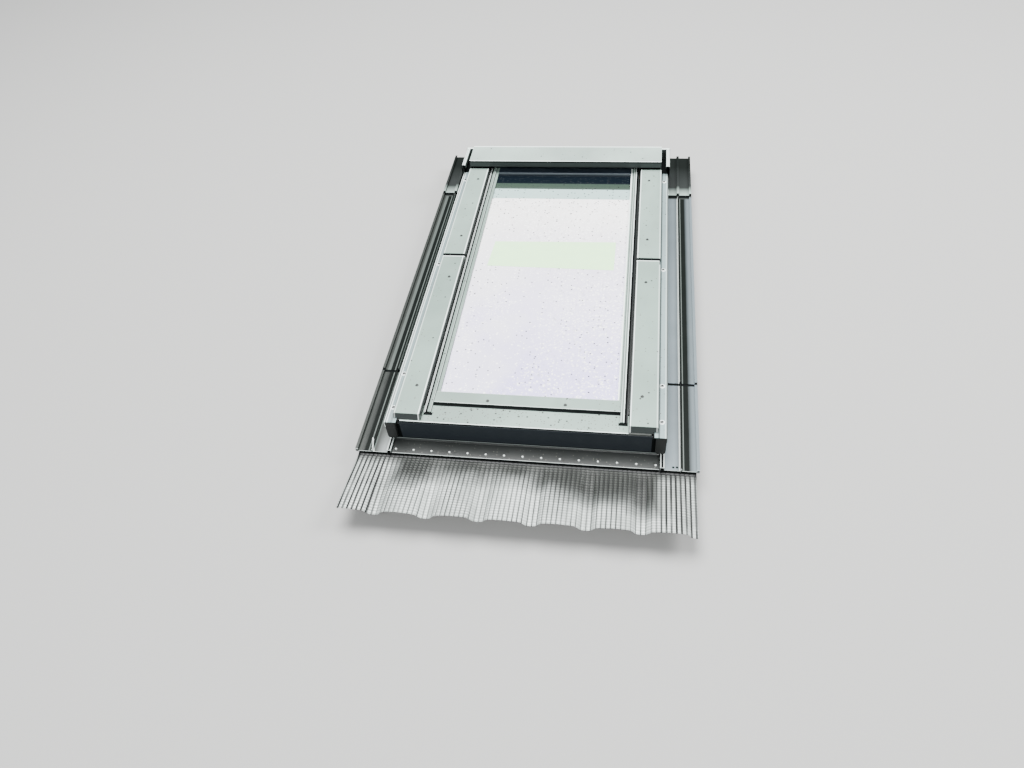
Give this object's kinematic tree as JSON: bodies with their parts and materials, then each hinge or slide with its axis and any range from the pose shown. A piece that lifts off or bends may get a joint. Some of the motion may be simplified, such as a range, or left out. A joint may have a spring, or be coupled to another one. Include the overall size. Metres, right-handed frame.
{
  "type": "roof window",
  "caption": "Centre-pivot roof window: timber frame and sash with double glazing, grey metal covers, hood, side gutters and a pleated apron skirt for a tiled roof.",
  "frame": {"origin": "middle of the bracket screw holes, on the plane of the roof battens", "axes": "+X across the window, +Y up the roof slope, +Z out of the roof"},
  "size_m": [0.6916, 1.2668, 0.139],
  "materials": {
    "timber": "clear lacquered pine",
    "grey_sheet": "grey satin lacquer",
    "dark_sheet": "charcoal satin lacquer",
    "skirt_sheet": "pleated, grey coating",
    "steel": "zinc plated",
    "handle_metal": "satin",
    "seal": "black, matte",
    "plastic": "black",
    "glass": "clear double glazing",
    "spacer": "mill finish"
  },
  "bodies": {
    "frame": {"frame_head": "timber", "frame_sill": "timber", "frame_jamb_left": "timber", "frame_jamb_right": "timber", "latch_keeper": "steel", "bolt_bushes": "steel", "mounting_brackets": "steel", "frame_seal": "seal", "sill_cover": "dark_sheet", "upper_cover_clips": "plastic", "hood": "grey_sheet", "bottom_flashing": "grey_sheet", "clinch_studs": "grey_sheet", "apron_skirt": "skirt_sheet", "top_flashing": "grey_sheet", "frame_screws": "steel", "hinge_frame_plate_left": "steel", "hinge_frame_plate_right": "steel", "side_strip_left": "grey_sheet", "side_strip_right": "grey_sheet", "end_cap_left": "plastic", "end_cap_right": "plastic", "upper_cover_left": "grey_sheet", "upper_cover_right": "grey_sheet", "corner_flashing_left": "grey_sheet", "corner_flashing_right": "grey_sheet", "side_gutter_left": "grey_sheet", "side_gutter_right": "grey_sheet", "top_wing_left": "grey_sheet", "top_wing_right": "grey_sheet"},
    "sash": {"sash_stile_left": "timber", "sash_stile_right": "timber", "sash_top_rail": "timber", "sash_bottom_rail": "timber", "outer_pane": "glass", "inner_pane": "glass", "glass_spacer": "spacer", "edge_seal": "seal", "glazing_gasket": "seal", "setting_blocks": "plastic", "bottom_bead": "grey_sheet", "top_bead": "grey_sheet", "rail_cover": "grey_sheet", "lower_cover_clips": "plastic", "sash_screws": "steel", "handle_base": "handle_metal", "bolt_guide": "steel", "hinge_sash_plate_left": "steel", "hinge_sash_plate_right": "steel", "lower_cover_left": "grey_sheet", "lower_cover_right": "grey_sheet", "side_bead_left": "grey_sheet", "side_bead_right": "grey_sheet"},
    "handle": {"handle": "handle_metal"},
    "bolt": {"bolt": "steel"}
  },
  "joints": [
    {"name": "sash_pivot", "type": "hinge", "parent": "frame", "child": "sash", "pos_m": [0, 0.031, 0.09], "axis": [-1, 0, 0], "range_deg": [0, 160]},
    {"name": "handle_turn", "type": "hinge", "parent": "sash", "child": "handle", "pos_m": [0, -0.422, 0], "axis": [0, 0, -1], "range_deg": [0, 90]},
    {"name": "bolt_slide", "type": "slide", "parent": "sash", "child": "bolt", "axis": [1, 0, 0], "range_m": [0, 0.012]}
  ]
}
